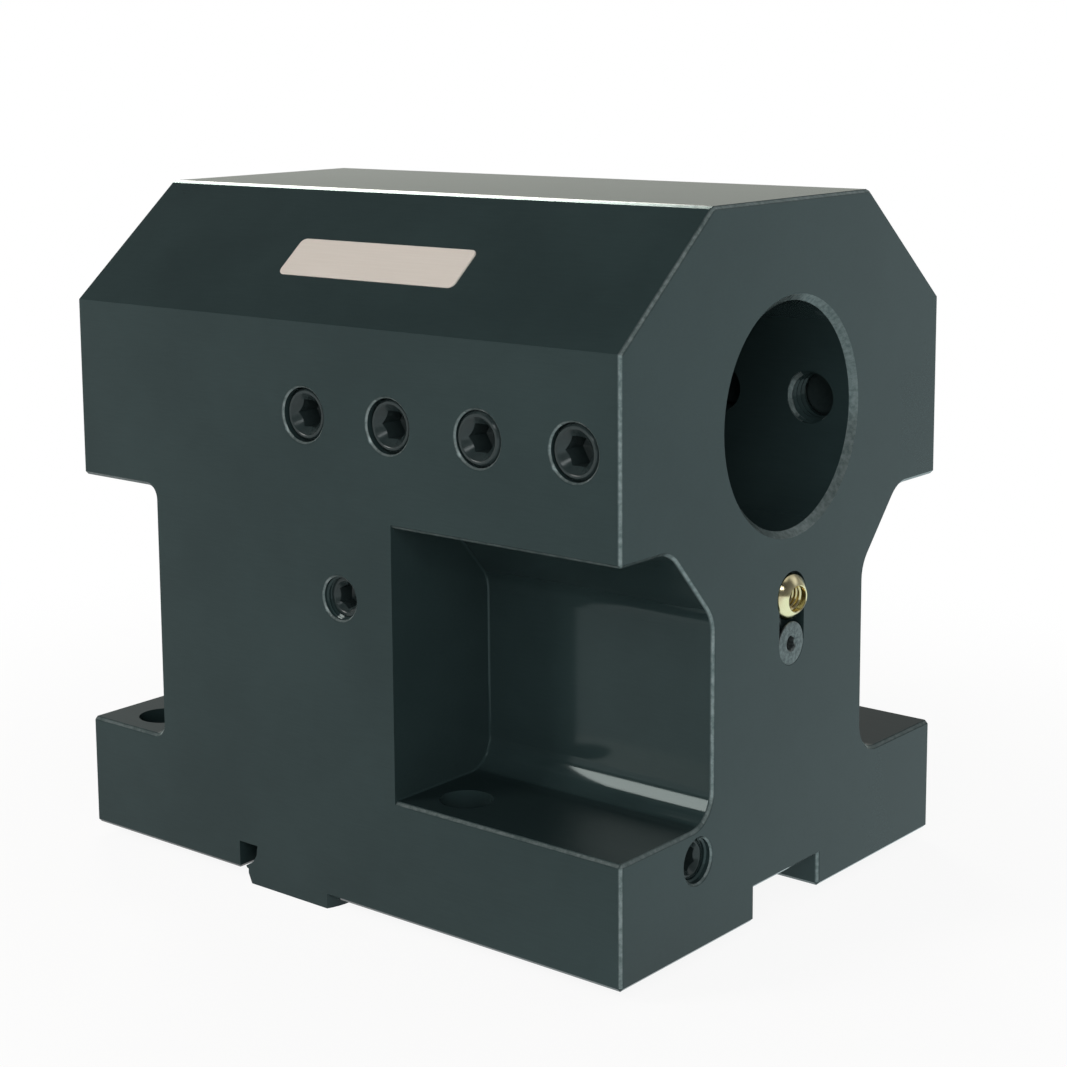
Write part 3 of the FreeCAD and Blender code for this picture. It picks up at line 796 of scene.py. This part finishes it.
def ramp(board, height, stops):
    """A colour that changes with a height from 0 to 1, given by (height, colour) pairs."""
    made = board.node("ShaderNodeValToRGB", {}, [height])
    elements = made.socket.node.color_ramp.elements
    while len(elements) < len(stops):
        elements.new(0.5)
    for element, (place, colour) in zip(elements, stops):
        element.position = place
        element.color = (*colour, 1.0)
    return made


# Tones of the room's walls, by the sine of the angle above the horizon.
WALLS = (
    (0.0, (0.90, 0.90, 0.90)),
    (0.05, (0.40, 0.42, 0.375)),
    (0.20, (0.32, 0.33, 0.32)),
    (0.45, (0.22, 0.22, 0.22)),
    (0.64, (0.12, 0.12, 0.12)),
    (0.82, (0.09, 0.09, 0.09)),
    (0.90, (0.10, 0.10, 0.10)),
    (0.95, (0.60, 0.59, 0.56)),
)


def room():
    """A white room, dimmer in front and upwards, with a high window behind on the right.

    The camera and the metal see its foot as white.
    """
    world = bpy.data.worlds.new("studio")
    bpy.context.scene.world = world
    world.use_nodes = True
    board = Board(world.node_tree)
    board.tree.nodes.clear()
    x, y, z = board.split(board.node("ShaderNodeTexCoord", out="Generated"))
    window = x.step(-0.1, 0.3) * y.step(0.2, 0.6) * z.step(0.45, 0.65)
    strength = 0.35 + 0.65 * y.step(-0.6, 0.1) + 5.0 * window
    walls = {"Color": ramp(board, z, WALLS), "Strength": strength}
    walls = board.node("ShaderNodeBackground", {}, walls)
    white = board.node("ShaderNodeBackground", {}, [(1.0, 1.0, 1.0, 1.0)])
    camera_ray = board.node("ShaderNodeLightPath", out="Is Camera Ray")
    glossy_ray = board.node("ShaderNodeLightPath", out="Is Glossy Ray")
    foot = 1 - z.step(0.0, 0.05)
    both = board.node("ShaderNodeMixShader", {}, [camera_ray.most(glossy_ray * foot), walls, white])
    board.feed(board.tree.nodes.new("ShaderNodeOutputWorld").inputs["Surface"], both)


def paper_floor():
    """A white floor that keeps the object's shadow; seen in reflections it glows as painted light,
    dimmer to the left and teal to the right.
    """
    finish = Finish("floor_paper")
    lit = finish.node("ShaderNodeBsdfDiffuse", {}, {"Color": (0.9, 0.9, 0.9, 1)})
    camera_ray = finish.node("ShaderNodeLightPath", out="Is Camera Ray")
    glossy_ray = finish.node("ShaderNodeLightPath", out="Is Glossy Ray")
    x, y, _ = finish.split(finish.place())
    far = distance(x, y).step(0.10, 0.30)
    # Painted light for reflections: glossy rays see the floor glow dimmer to the left and
    # teal-tinted to the right.
    right = (x + y).step(-0.10, 0.15)
    tone = finish.mix(glossy_ray * right, (1.0, 1.0, 1.0), (0.86, 1.0, 1.02))
    strength = 1 - glossy_ray * (0.45 - 0.35 * right)
    glow = finish.node("ShaderNodeEmission", {}, {"Color": tone, "Strength": strength})
    seen = glossy_ray.most(camera_ray * (0.91 + 0.09 * far))
    both = finish.node("ShaderNodeMixShader", {}, [seen, lit, glow])
    finish.feed(finish.output.inputs["Surface"], both)

    half = 6.0
    foot = BLOCK_LOW.z
    mesh = bpy.data.meshes.new("floor")
    corners = [(-half, -half, foot), (half, -half, foot), (half, half, foot), (-half, half, foot)]
    mesh.from_pydata(corners, [], [(0, 1, 2, 3)])
    floor = bpy.data.objects.new("floor", mesh)
    floor.data.materials.append(finish.material)
    bpy.context.scene.collection.objects.link(floor)


def studio():
    """The room, the floor and the soft boxes."""
    room()
    paper_floor()
    aim = (0.02, 0.0, 0.08)
    # The key is left out of the reflections: seen from behind, level faces would be plain white.
    key = panel("key", (1.45, -1.7, 0.85), aim, 3.0, 1.6, 32.0)
    key.visible_glossy = False
    panel("box_front", (1.1, -1.4, 1.5), aim, 0.6, 0.4, 3.0)
    panel("box_front_left", (-0.75, -1.08, 0.73), aim, 0.42, 0.85, 10.0, (1.0, 0.92, 0.88))
    panel("box_behind_left", (-1.0, 0.78, 0.92), aim, 0.45, 0.35, 6.0, (1.0, 0.96, 0.87))


dress_nodes()
for row in ROWS:
    clamp_row(row)
plug("side_plug", (0, -1, 0), math.radians(30))
plug("front_plug", (1, 0, 0), 0.0)
nozzle()
lock_screw()
name_plate()
camera()
studio()
bpy.context.scene.view_settings.view_transform = "Standard"
